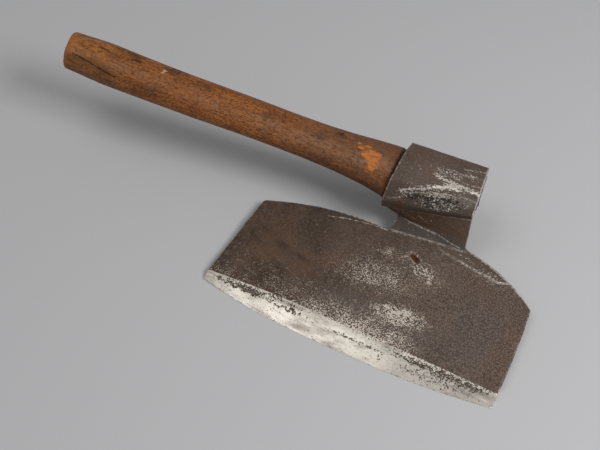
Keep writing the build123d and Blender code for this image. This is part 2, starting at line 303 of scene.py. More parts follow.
class Graph:
    """A material's nodes. Each method adds what its name says and returns the output to use."""

    def __init__(self, name):
        self.material = bpy.data.materials.new(name)
        self.material.use_nodes = True
        self.tree = self.material.node_tree
        self.shader = self.tree.nodes["Principled BSDF"]
        self.place = self.tree.nodes.new("ShaderNodeTexCoord").outputs["Object"]

    def node(self, kind, **settings):
        node = self.tree.nodes.new("ShaderNode" + kind)
        for key, value in settings.items():
            setattr(node, key, value)
        return node

    def put(self, socket, value):
        if isinstance(value, bpy.types.NodeSocket):
            self.tree.links.new(value, socket)
        else:
            socket.default_value = value

    def math(self, operation, a, b=0.0, clamp=False):
        node = self.node("Math", operation=operation, use_clamp=clamp)
        self.put(node.inputs[0], a)
        self.put(node.inputs[1], b)
        return node.outputs[0]

    def times(self, *values):
        product = values[0]
        for value in values[1:]:
            product = self.math("MULTIPLY", product, value)
        return product

    def without(self, value):
        """1 where the mask is 0, and 0 where it is 1."""
        return self.math("SUBTRACT", 1.0, value)

    def either(self, *values):
        """The largest of several masks."""
        largest = values[0]
        for value in values[1:]:
            largest = self.math("MAXIMUM", largest, value)
        return largest

    def mix(self, factor, a, b):
        """Colour a where the mask is 0 and colour b where it is 1."""
        node = self.node("Mix", data_type="RGBA")
        self.put(node.inputs[0], factor)
        for socket, colour in ((node.inputs[6], a), (node.inputs[7], b)):
            self.put(socket, colour if isinstance(colour, bpy.types.NodeSocket) else (*colour, 1.0))
        return node.outputs[2]

    def tint(self, colour, over, mask, share=1.0):
        """Lays a share of a colour over another where the mask is."""
        return self.mix(mask if share == 1.0 else self.times(mask, share), colour, over)

    def blend(self, factor, a, b):
        """Number a where the mask is 0 and number b where it is 1."""
        node = self.node("Mix", data_type="FLOAT")
        for index, value in ((0, factor), (2, a), (3, b)):
            self.put(node.inputs[index], value)
        return node.outputs[0]

    def rise(self, value, low, high):
        """0 below low and 1 above high, or the other way round where low is the larger."""
        node = self.node("MapRange", interpolation_type="SMOOTHSTEP")
        flipped = low > high
        for socket, number in zip(node.inputs, (value, min(low, high), max(low, high))):
            self.put(socket, number)
        node.inputs["To Min"].default_value = 1.0 if flipped else 0.0
        node.inputs["To Max"].default_value = 0.0 if flipped else 1.0
        return node.outputs[0]

    def noise(self, size, detail=2.0, roughness=0.5, distortion=0.0, place=None):
        """Cloudy noise round 0.5, with lumps of a given size in metres."""
        node = self.node("TexNoise")
        self.put(node.inputs["Vector"], place or self.place)
        node.inputs["Scale"].default_value = 1.0 / size
        node.inputs["Detail"].default_value = detail
        node.inputs["Roughness"].default_value = roughness
        node.inputs["Distortion"].default_value = distortion
        return node.outputs["Fac"]

    def cloud(self, size, detail, roughness, low, high, place=None):
        """Noise cut to a mask: 0 where it is under low and 1 where it is over high."""
        return self.rise(self.noise(size, detail, roughness, 0.0, place), low, high)

    def warped(self, size, amount):
        """Places shaken about, so that what is drawn on them has a ragged outline."""
        node = self.node("TexNoise")
        self.put(node.inputs["Vector"], self.place)
        node.inputs["Scale"].default_value = 1.0 / size
        node.inputs["Detail"].default_value = 3.0
        centred = self.node("VectorMath", operation="SUBTRACT")
        self.put(centred.inputs[0], node.outputs["Color"])
        centred.inputs[1].default_value = (0.5, 0.5, 0.5)
        scaled = self.node("VectorMath", operation="SCALE")
        self.put(scaled.inputs[0], centred.outputs[0])
        scaled.inputs["Scale"].default_value = amount
        moved = self.node("VectorMath", operation="ADD")
        self.put(moved.inputs[0], self.place)
        self.put(moved.inputs[1], scaled.outputs[0])
        return moved.outputs[0]

    def framed(self, centre, turn=(0.0, 0.0, 0.0), scale=(1.0, 1.0, 1.0), place=None):
        """Places measured from a centre, along turned axes, in units of scale."""
        node = self.node("Mapping", vector_type="TEXTURE")
        self.put(node.inputs["Vector"], place or self.place)
        node.inputs["Location"].default_value = centre
        node.inputs["Rotation"].default_value = turn
        node.inputs["Scale"].default_value = scale
        return node.outputs[0]

    def patch(self, centre, radii, turn=0.0, core=0.4, share=1.0, place=None):
        """A round patch in millimetres, turned about Z: its share at its core, fading to 0 at its rim."""
        local = self.framed([c * MM for c in centre], (0.0, 0.0, turn), [r * MM for r in radii], place)
        length = self.node("VectorMath", operation="LENGTH")
        self.put(length.inputs[0], local)
        shape = self.rise(length.outputs["Value"], 1.0, core)
        return shape if share == 1.0 else self.times(shape, share)

    def patches(self, rows, place=None):
        """The largest of several patches, each with its centre, radii, turn, core and share."""
        return self.either(*[self.patch(*row, place=place) for row in rows])

    def grains(self, size, density, place=None, detail=3.0):
        """Small ragged grains that cover about the given share, a number or a mask, of the surface."""
        speckle = self.noise(size, detail, 0.6, 0.0, place)
        limit = self.math("SUBTRACT", 0.70, self.math("MULTIPLY", density, 0.40))
        return self.rise(self.math("SUBTRACT", speckle, limit), 0.0, 0.05)

    def axis(self, index, place=None):
        node = self.node("SeparateXYZ")
        self.put(node.inputs[0], place or self.place)
        return node.outputs[index]

    def kept(self, name):
        """A number that was stored on the mesh."""
        return self.node("Attribute", attribute_name=name).outputs["Fac"]

    def drawn(self, name, width):
        """A shaky line of a given width in millimetres, from the stored distance to its middle."""
        shaken = self.times(self.math("SUBTRACT", self.noise(LINE_SHAKE_SIZE, 4.0, 0.7), 0.46), LINE_SHAKE)
        return self.rise(self.math("ADD", self.kept(name), shaken), width * MM, 0.35 * width * MM)

    def bump(self, height, depth, strength, under=None):
        node = self.node("Bump")
        node.inputs["Strength"].default_value = strength
        node.inputs["Distance"].default_value = depth
        self.put(node.inputs["Height"], height)
        if under is not None:
            self.put(node.inputs["Normal"], under)
        return node.outputs[0]

    def finish(self, colour, roughness, normal, metallic=0.0, gloss=None):
        self.put(self.shader.inputs["Base Color"], colour)
        self.put(self.shader.inputs["Roughness"], roughness)
        self.put(self.shader.inputs["Metallic"], metallic)
        self.put(self.shader.inputs["Normal"], normal)
        if gloss is not None:
            self.shader.inputs["Specular IOR Level"].default_value = gloss
        return self.material


# Colours are linear
SOOT = (0.020, 0.014, 0.011)
DARK_PATINA = (0.046, 0.028, 0.019)
BROWN_PATINA = (0.088, 0.056, 0.039)
PALE_PATINA = (0.130, 0.095, 0.073)
BLUE_PATINA = (0.092, 0.086, 0.086)
WARM_PATINA = (0.125, 0.062, 0.033)
GRIT_PATINA = (0.225, 0.172, 0.145)
RUST = (0.115, 0.038, 0.012)
RUST_SHADOW = (0.035, 0.013, 0.007)
RUST_SPOT = (0.14, 0.045, 0.015)
RECESS_RIM = (0.45, 0.38, 0.31)
GREY_WEAR = (0.235, 0.200, 0.170)
DULL_GRAIN = (0.190, 0.142, 0.106)
WORN_IRON = (0.62, 0.57, 0.51)
WARM_IRON = (0.54, 0.445, 0.355)
BRIGHT_IRON = (0.70, 0.620, 0.535)
DULL_STEEL = (0.33, 0.288, 0.245)
BRIGHT_STEEL = (0.80, 0.74, 0.655)
TOE_STEEL = (0.30, 0.28, 0.26)
STEEL_HAZE = (0.22, 0.19, 0.165)
PIT_BLACK = (0.058, 0.036, 0.023)
STRAP_BROWN = (0.098, 0.068, 0.052)
STRAP_TOP = (0.125, 0.092, 0.076)
STRAP_STRIP = (0.125, 0.108, 0.096)
STRAP_NECK = (0.130, 0.078, 0.050)
STRAP_FOOT = (0.125, 0.088, 0.066)
STRAP_WARM = (0.120, 0.062, 0.036)
STRAP_SMOOTH = (0.21, 0.18, 0.155)
STRAP_PIT = (0.030, 0.022, 0.018)
WEDGE_IRON = (0.35, 0.31, 0.27)

# The size of the grit that a metal surface shows, then specular levels, roughnesses and bump depths
GRIT = 1.3 * MM
COARSE_GRIT = 2.5 * MM
IRON_GLOSS = 0.22
WOOD_GLOSS = 0.20
FACE_ROUGHNESS = 0.52
STEEL_ROUGHNESS = 0.40
PIT_ROUGHNESS = 0.85
GRIT_RELIEF = 0.13 * MM
LUMP_RELIEF = 0.25 * MM
GRAIN_RELIEF = 0.22 * MM

# How far, and in lumps of what size, a drawn line strays
LINE_SHAKE = 3.2 * MM
LINE_SHAKE_SIZE = 2.6 * MM

# Patches are centre and radii in millimetres, turn about Z in radians, core and share
FACE_SPECKLE = (
    ((34, 42, 7), (60, 27, 30), 0.10, 0.0, 0.72),
    ((0, 72, 8), (95, 44, 30), 0.10, 0.0, 0.55),
    ((36, 93, 8), (46, 26, 30), -0.20, 0.0, 0.60),
    ((5, 100, 8), (60, 20, 30), 0.10, 0.0, 0.47),
)
TOP_EDGE_SPECKLE = ((84, 114, 8), (34, 6, 30), -0.17, 0.2, 0.34)
BEVEL_PITS = (
    # A streak at the heel, a thin line and a stain in the middle, a streak at the toe
    ((-104, 6.5, 4.2), (46, 7, 1.7), 0.0, 0.4, 0.76),
    ((-86, 10, 5.2), (66, 5, 1.5), 0.0, 0.4, 0.58),
    ((-58, 5, 3.7), (36, 4, 0.9), 0.0, 0.4, 0.78),
    ((10, 4, 4.0), (44, 2.4, 0.60), 0.0, 0.4, 0.66),
    ((36, 0, 2.6), (5, 9, 2.6), 0.0, 0.4, 0.40),
    ((66, 8, 4.9), (34, 6, 1.5), 0.0, 0.4, 0.70),
    ((104, 7, 4.8), (48, 9, 2.0), 0.0, 0.4, 0.70),
    ((88, 0, 2.6), (64, 8, 2.2), 0.0, 0.4, 0.44),
)
FACE_BLUISH = (
    ((20, 30, 7), (80, 24, 20), 0.0, 0.4, 1.0),
    ((100, 60, 7), (30, 60, 20), 0.0, 0.4, 0.7),
)
FACE_WARM = (
    ((-58, 60, 7), (40, 22, 20), 0.6, 0.2, 1.0),
    ((-105, 60, 7), (40, 60, 20), 0.0, 0.1, 1.0),
    ((92, 98, 8), (40, 16, 20), -0.5, 0.2, 1.0),
    ((128, 50, 7), (16, 60, 20), 0.0, 0.2, 1.0),
)
FACE_SMUDGES = (
    ((-92, 62, 7), (14, 7, 9), -0.2, 0.1, 1.0),
    ((-70, 58, 7), (16, 5, 9), -0.2, 0.1, 1.0),
)
BLADE_RUBBED = (
    ((88, 122, 9), (46, 14, 30), 0.0, 0.6, 1.0),
    ((-30, 120, 9), (60, 14, 30), 0.0, 0.4, 0.9),
)
RECESS_TURN = math.radians(-31)
RECESS = ((21, 105, 8), (7.2, 3.0, 20), RECESS_TURN, 0.75)
RECESS_BORDER = ((22, 105, 8), (10.5, 5.5, 20), RECESS_TURN, 0.6)
STRAP_WARMTH = (
    ((20, 186, 58), (70, 18, 24), 0.2, 0.3, 1.0),
    ((-10, 170, 74), (24, 20, 12), 0.0, 0.2, 0.8),
    ((10, 154, 76), (18, 10, 10), 0.0, 0.2, 0.5),
)
STRAP_POLISH = ((47, 147, 60), (20, 9, 12), 0.2, 0.2)
CROWN_GLOW = ((33, 149, 70), (22, 7, 8), 0.2, 0.0, 0.72)
STRAP_GLOW = (
    # The socket's side and crown, then the flange
    ((28, 136, 56), (32, 10, 13), 0.40, 0.1, 0.62),
    ((24, 138, 64), (32, 9, 10), 0.45, 0.1, 0.60),
    ((0, 128, 63), (18, 8, 6), 0.45, 0.1, 0.42),
    ((44, 146, 54), (18, 7, 12), 0.2, 0.1, 0.46),
    ((28, 160, 73), (36, 12, 8), 0.1, 0.0, 0.44),
    ((42, 168, 70), (20, 12, 8), 0.0, 0.0, 0.36),
    ((94, 117, 9), (26, 6, 9), -0.25, 0.2, 0.38),
    ((68, 124, 9), (34, 6, 9), -0.25, 0.2, 0.32),
)
RIM_RUBBED = ((57, 158, 58), (7, 34, 18), 0.0, 0.75)
FLANGE_RUBBED = ((86, 122, 9), (44, 16, 12), 0.0, 0.6, 0.70)
STRAP_PITS = (
    ((25, 136, 57), (28, 9, 10), 0.42, 0.35, 1.0),
    ((8, 131, 61), (20, 6, 5), 0.45, 0.4, 0.9),
    ((40, 143, 56), (14, 7, 8), 0.3, 0.4, 0.7),
)
STRAP_RUST_DOT = ((-6, 123, 54), (2.6, 4, 3.5), 0.0, 0.3)
STRAP_RUST = (
    ((-10, 126, 46), (10, 6, 5), 0.0, 0.2, 0.5),
    ((10, 134, 30), (14, 6, 8), 0.0, 0.2, 0.35),
)


def iron_ground(graph, brown=BROWN_PATINA):
    """Old brown iron: soft clouds and streaks under grit that is dark in its hollows."""
    clouds = graph.cloud(34 * MM, 3.0, 0.5, 0.35, 0.65)
    streaks = graph.cloud(8 * MM, 4.0, 0.65, 0.40, 0.66)
    hollows = graph.cloud(GRIT, 2.0, 0.7, 0.50, 0.36)
    peaks = graph.cloud(COARSE_GRIT, 3.0, 0.7, 0.50, 0.64)
    ground = graph.mix(clouds, DARK_PATINA, brown)
    ground = graph.tint(ground, PALE_PATINA, streaks, 0.38)
    ground = graph.tint(ground, PALE_PATINA, peaks, 0.55)
    ground = graph.tint(ground, SOOT, hollows, 0.70)
    return ground, clouds


def blade_ground(graph, ragged):
    """The face's patina: paler towards the toe as painted light from that side, grittier at the toe, with
    bluish, warm and sooty areas.
    """
    ground, clouds = iron_ground(graph)
    # Painted light: the face pales towards the toe, the side the light falls from; the same mask adds grit
    # there
    toe = graph.rise(graph.axis(0), -95 * MM, 60 * MM)
    ground = graph.tint(ground, PALE_PATINA, toe, 0.55)
    ground = graph.tint(ground, BLUE_PATINA, graph.patches(FACE_BLUISH, ragged), 0.35)
    warm = graph.times(graph.patches(FACE_WARM, ragged), graph.blend(clouds, 0.20, 0.50))
    ground = graph.tint(ground, WARM_PATINA, warm)
    ground = graph.tint(ground, SOOT, graph.patches(FACE_SMUDGES, ragged), 0.55)
    speck = graph.noise(GRIT, 2.0, 0.7, 0.0, graph.framed((0.05, 0.03, 0.02)))
    ground = graph.tint(ground, GRIT_PATINA, graph.times(graph.rise(speck, 0.50, 0.62), toe), 0.60)
    ground = graph.tint(ground, SOOT, graph.times(graph.rise(speck, 0.48, 0.38), toe), 0.50)
    return ground, clouds


def blade_speckle(graph, ragged):
    """How densely bare metal shows through the face as grains."""
    x, y = graph.axis(0, ragged), graph.axis(1, ragged)
    patchy = graph.blend(graph.cloud(10 * MM, 4.0, 0.7, 0.36, 0.62), 0.78, 1.0)
    towards_toe = graph.blend(graph.rise(x, -145 * MM, 20 * MM), 0.45, 1.0)
    before_toe = graph.blend(graph.rise(x, 84 * MM, 46 * MM), 0.10, 1.0)
    low = graph.times(graph.rise(y, 66 * MM, 12 * MM), towards_toe, before_toe, 0.62)
    past_heel = graph.blend(graph.rise(x, -90 * MM, 10 * MM), 0.62, 1.0)
    by_bevel = graph.times(graph.rise(y, 26 * MM, 12 * MM), before_toe, past_heel, 0.66)
    spread = graph.either(low, by_bevel, graph.patches(FACE_SPECKLE, ragged))
    top_edge = graph.patch(*TOP_EDGE_SPECKLE, place=ragged)
    return graph.either(graph.times(spread, patchy), top_edge, 0.03)


def blade_face(graph, ground, density):
    """The face's colour and how metallic it is, with its grains of bare metal."""
    bare = graph.grains(GRIT, density)
    faint = graph.grains(COARSE_GRIT, graph.times(density, 0.95))
    tone = graph.cloud(2.2 * MM, 3.0, 0.6, 0.36, 0.60)
    colour = graph.tint(ground, GREY_WEAR, faint, 0.45)
    shine = graph.math("ADD", graph.times(tone, 0.35), graph.rise(density, 0.22, 0.62), clamp=True)
    dense = graph.rise(density, 0.34, 0.56)
    colour = graph.tint(colour, DARK_PATINA, dense, 0.60)
    grain_colour = graph.mix(dense, WARM_IRON, BRIGHT_IRON)
    colour = graph.mix(bare, colour, graph.mix(shine, DULL_GRAIN, grain_colour))
    return colour, graph.times(bare, shine, 0.45)


def bevel_steel(graph, ragged, fall):
    """The ground bevel's colour and its dark pits."""
    x = graph.axis(0)
    along_edge = graph.framed((0, 0, 0), (0, 0, 0), (4, 1, 1))
    smears = graph.rise(graph.noise(7 * MM, 4.0, 0.65, 0.3, along_edge), 0.25, 0.60)
    steel = graph.mix(smears, DULL_STEEL, BRIGHT_STEEL)
    steel = graph.tint(steel, GREY_WEAR, graph.rise(fall, 2.2 * MM, 0.5 * MM), 0.35)
    toe_grey = graph.times(graph.rise(x, 25 * MM, 60 * MM), graph.rise(x, 133 * MM, 122 * MM))
    steel = graph.tint(steel, TOE_STEEL, toe_grey, 0.45)
    toe_rim = graph.times(graph.rise(fall, 1.9 * MM, 1.0 * MM), graph.rise(x, 35 * MM, 60 * MM))
    steel = graph.tint(steel, BRIGHT_STEEL, toe_rim, 0.75)
    pit_share = graph.either(graph.patches(BEVEL_PITS, ragged), 0.19)
    pitted = graph.grains(1.5 * MM, pit_share)
    haze = graph.grains(COARSE_GRIT, graph.times(pit_share, 0.9))
    steel = graph.tint(steel, STEEL_HAZE, haze, 0.35)
    return graph.tint(steel, PIT_BLACK, pitted, 0.95), pitted


def blade_material():
    """The blade's face, bevel and back, for the plate and the edge steel alike."""
    graph = Graph("blade_iron")
    ragged = graph.warped(5 * MM, 6 * MM)
    fine_ragged = graph.warped(3 * MM, 1.4 * MM)
    ground, clouds = blade_ground(graph, ragged)
    colour, metal = blade_face(graph, ground, blade_speckle(graph, ragged))

    # The bevel starts where the surface falls below the face, in a crumbled line towards the toe
    fall = graph.kept("fall")
    steel, pitted = bevel_steel(graph, ragged, fall)
    crumbs = graph.cloud(2.0 * MM, 4.0, 0.7, 0.52, 0.30)
    crumbs = graph.times(crumbs, graph.rise(graph.axis(0), -60 * MM, 20 * MM), 1.3 * MM)
    on_bevel = graph.rise(graph.math("SUBTRACT", fall, crumbs), 0.05 * MM, 0.22 * MM)
    colour = graph.mix(on_bevel, colour, steel)
    bevel_metal = graph.math("SUBTRACT", 0.85, graph.times(pitted, 0.85))
    metal = graph.blend(on_bevel, metal, bevel_metal)

    # Bright flecks where the arrises have rubbed bare, and lines where the blade was struck
    arris = graph.rise(graph.kept("arris"), 1.1 * MM, 0.3 * MM)
    broken = graph.cloud(3 * MM, 3.0, 0.7, 0.44, 0.56)
    rubbed = graph.times(arris, broken, graph.either(graph.patches(BLADE_RUBBED), 0.30))
    gaps = graph.cloud(2.4 * MM, 3.0, 0.7, 0.36, 0.48)
    rubbed = graph.either(rubbed, graph.times(graph.drawn("struck", 0.75), gaps))
    colour = graph.mix(rubbed, colour, WORN_IRON)
    metal = graph.either(metal, graph.times(rubbed, 0.5))

    # Rusty recess with a pale rim; the dark rust inside is partly painted shade in the recess
    recess = graph.patch(*RECESS, place=fine_ragged)
    border = graph.patch(*RECESS_BORDER, place=ragged)
    border = graph.times(border, graph.cloud(1.8 * MM, 2.0, 0.5, 0.50, 0.60))
    rusty = graph.mix(graph.cloud(2.0 * MM, 3.0, 0.5, 0.4, 0.6), RUST_SHADOW, RUST)
    colour = graph.tint(colour, RECESS_RIM, border, 0.8)
    colour = graph.mix(recess, colour, rusty)
    metal = graph.times(metal, graph.without(recess))

    # Fine relief: grains stand proud on the face, pits lie low on the bevel
    pitting = graph.noise(GRIT, 3.0, 0.75)
    height = graph.blend(on_bevel, pitting, graph.without(pitted))
    normal = graph.bump(height, GRIT_RELIEF, 0.9)
    normal = graph.bump(graph.noise(4 * MM, 3.0, 0.6), LUMP_RELIEF, 0.5, normal)
    roughness = graph.blend(on_bevel, FACE_ROUGHNESS, graph.blend(pitted, STEEL_ROUGHNESS, PIT_ROUGHNESS))
    roughness = graph.math("ADD", roughness, graph.times(graph.math("SUBTRACT", clouds, 0.5), 0.10))
    return graph.finish(colour, roughness, normal, metal, IRON_GLOSS)


def strap_ground(graph, ragged):
    """The strap's patina, which differs between its foot, strip, neck and socket."""
    ground, clouds = iron_ground(graph, STRAP_BROWN)
    # From the top down by height: the socket, the neck, the upright strip below it and the lap flange
    z = graph.axis(2)
    strip = graph.times(graph.rise(z, 9.5 * MM, 11 * MM), graph.rise(z, 22 * MM, 18 * MM))
    neck = graph.times(graph.rise(z, 16 * MM, 20 * MM), graph.rise(z, 50 * MM, 40 * MM))
    ground = graph.tint(ground, STRAP_TOP, graph.rise(z, 38 * MM, 50 * MM), 0.35)
    ground = graph.tint(ground, STRAP_STRIP, strip, 0.50)
    ground = graph.tint(ground, STRAP_NECK, neck, 0.55)
    ground = graph.tint(ground, STRAP_FOOT, graph.rise(z, 11 * MM, 9.7 * MM), 0.5)
    blotch = graph.rise(graph.noise(6 * MM, 4.0, 0.65, 0.4), 0.36, 0.62)
    warm = graph.times(graph.patches(STRAP_WARMTH, ragged), graph.blend(blotch, 0.15, 0.75))
    ground = graph.tint(ground, STRAP_WARM, warm)
    ground = graph.tint(ground, STRAP_SMOOTH, graph.patch(*STRAP_POLISH, place=ragged), 0.55)
    return ground, clouds


def strap_lines(graph):
    """Lines of bare metal: struck, grazed, along the folds and round the socket's front rim."""
    gaps = graph.cloud(2.0 * MM, 3.0, 0.7, 0.32, 0.46)
    wide_gaps = graph.cloud(7 * MM, 3.0, 0.7, 0.36, 0.48)
    folds = graph.times(graph.drawn("folds", 0.65), graph.blend(gaps, 0.25, 1.0))
    rim = graph.times(graph.drawn("rim", 1.0), graph.blend(gaps, 0.45, 1.0))
    return graph.either(
        graph.times(graph.drawn("struck", 0.90), graph.blend(gaps, 0.45, 1.0)),
        graph.times(graph.drawn("grazed", 0.50), graph.blend(gaps, 0.15, 0.60)),
        graph.times(folds, graph.blend(wide_gaps, 0.35, 0.95)),
        graph.times(rim, graph.blend(wide_gaps, 0.45, 1.0)),
    )


def strap_material():
    """The socket, neck and foot."""
    graph = Graph("strap_iron")
    ragged = graph.warped(4 * MM, 4 * MM)
    fine_ragged = graph.warped(2.5 * MM, 1.2 * MM)
    ground, clouds = strap_ground(graph, ragged)

    # Bare metal: a spread of grains, the lines, then the rubbed arrises
    glow = graph.either(
        graph.times(graph.rise(graph.kept("struck"), 5.5 * MM, 0.5 * MM), 0.54),
        graph.times(graph.rise(graph.kept("grazed"), 3.0 * MM, 0.3 * MM), 0.34),
        graph.patch(*CROWN_GLOW, place=fine_ragged),
        graph.patches(STRAP_GLOW, ragged),
        0.10,
    )
    along_socket = graph.framed((0, 0, 0), (0, 0, 0.2), (1.7, 1.0, 1.0))
    grains = graph.grains(1.15 * MM, glow, along_socket)
    haze = graph.grains(COARSE_GRIT, graph.times(glow, 0.95), along_socket)
    arris = graph.rise(graph.kept("arris"), 1.7 * MM, 0.7 * MM)
    far_side = graph.rise(graph.axis(1), 110 * MM, 117 * MM)
    bright_stretch = graph.either(
        graph.patch(*RIM_RUBBED), graph.times(graph.patch(*FLANGE_RUBBED), far_side), 0.30
    )
    broken = graph.cloud(3 * MM, 3.0, 0.7, 0.42, 0.54)
    unbroken = graph.blend(bright_stretch, broken, graph.either(broken, 0.20))
    rubbed = graph.times(arris, bright_stretch, unbroken)
    bare = graph.either(strap_lines(graph), grains, rubbed)
    colour = graph.tint(ground, GREY_WEAR, haze, 0.40)
    colour = graph.mix(bare, colour, WORN_IRON)

    # Black pits in the pale wear, and rust
    pits = graph.grains(1.8 * MM, graph.times(graph.patches(STRAP_PITS, ragged), 0.68))
    colour = graph.tint(colour, STRAP_PIT, pits, 0.95)
    metal = graph.times(bare, 0.45, graph.without(pits))
    rust = graph.either(graph.patch(*STRAP_RUST_DOT, place=fine_ragged), graph.patches(STRAP_RUST, ragged))
    colour = graph.mix(rust, colour, RUST_SPOT)

    normal = graph.bump(graph.noise(GRIT, 3.0, 0.75), GRIT_RELIEF, 0.9)
    normal = graph.bump(graph.without(pits), LUMP_RELIEF, 0.8, normal)
    normal = graph.bump(graph.noise(3.5 * MM, 3.0, 0.6), LUMP_RELIEF, 0.5, normal)
    roughness = graph.math("SUBTRACT", graph.blend(clouds, 0.46, 0.56), graph.times(bare, 0.08))
    return graph.finish(colour, roughness, normal, metal, IRON_GLOSS)


WOOD_BROWN = (0.105, 0.033, 0.009)
WOOD_ORANGE = (0.325, 0.099, 0.019)
WOOD_MOTTLE = (0.42, 0.142, 0.032)
WOOD_PORE = (0.050, 0.018, 0.007)
WOOD_LIGHT = (0.46, 0.20, 0.070)
WOOD_BLOTCH = (0.050, 0.022, 0.011)
WOOD_GRIME = (0.105, 0.060, 0.038)
WOOD_SHEEN_GREY = (0.295, 0.155, 0.085)
WOOD_UNDER_SHADE = (0.040, 0.016, 0.006)
WOOD_CREST = (0.120, 0.036, 0.010)
WOOD_MARK = (0.026, 0.011, 0.005)
WOOD_RIDGE = (0.026, 0.012, 0.006)
WOOD_TAN = (0.44, 0.180, 0.048)
WOOD_LOWER = (0.120, 0.052, 0.021)
WOOD_END = (0.36, 0.115, 0.028)
# Painted shade for the handle at the socket's mouth
WOOD_MOUTH_SHADE = (0.035, 0.018, 0.010)
WOOD_BARE = (0.42, 0.235, 0.115)
CHIP_LIGHT = (0.56, 0.190, 0.048)
CHIP_DARK = (0.24, 0.078, 0.022)
CHIP_PINK = (0.29, 0.120, 0.062)
NICK_PALE = (0.66, 0.54, 0.42)

# Marks on the handle, as patches
WOOD_MARKS = (
    ((-80, 153, 76), (7, 3.0, 8), 0.1, 0.2, 1.0),
    ((-316, 124, 102), (9, 2.6, 9), 0.1, 0.2, 1.0),
    ((-281, 128, 98), (9, 2.2, 9), 0.1, 0.2, 1.0),
)
WOOD_STAINS = (
    ((-303, 122, 100), (12, 4, 9), 0.1, 0.2, 0.6),
    ((-298, 136, 98), (30, 5, 12), 0.1, 0.2, 0.5),
)
CHIP_PATCHES = (
    (CHIP_PLACE, (10.5, 6.0, 9), 0.25, 0.80),
    ((-41, 140, 72), (6.0, 9.0, 9), 0.15, 0.80),
    ((-57, 148, 75), (4.5, 2.4, 6), 0.2, 0.5),
    ((-52, 152, 75), (4.5, 2.0, 6), 0.2, 0.3),
    ((-61, 152, 75), (3.0, 1.4, 6), 0.2, 0.3),
)
CHIP_BORDER = ((-33, 144, 74), (8, 9, 8), 0.0, 0.2)
NICK_PATCHES = (
    (NICK_PLACE, (1.2, 3.0, 4), -0.5, 0.4),
    ((-253, 132, 95), (2.2, 1.0, 4), 0.3, 0.4),
)


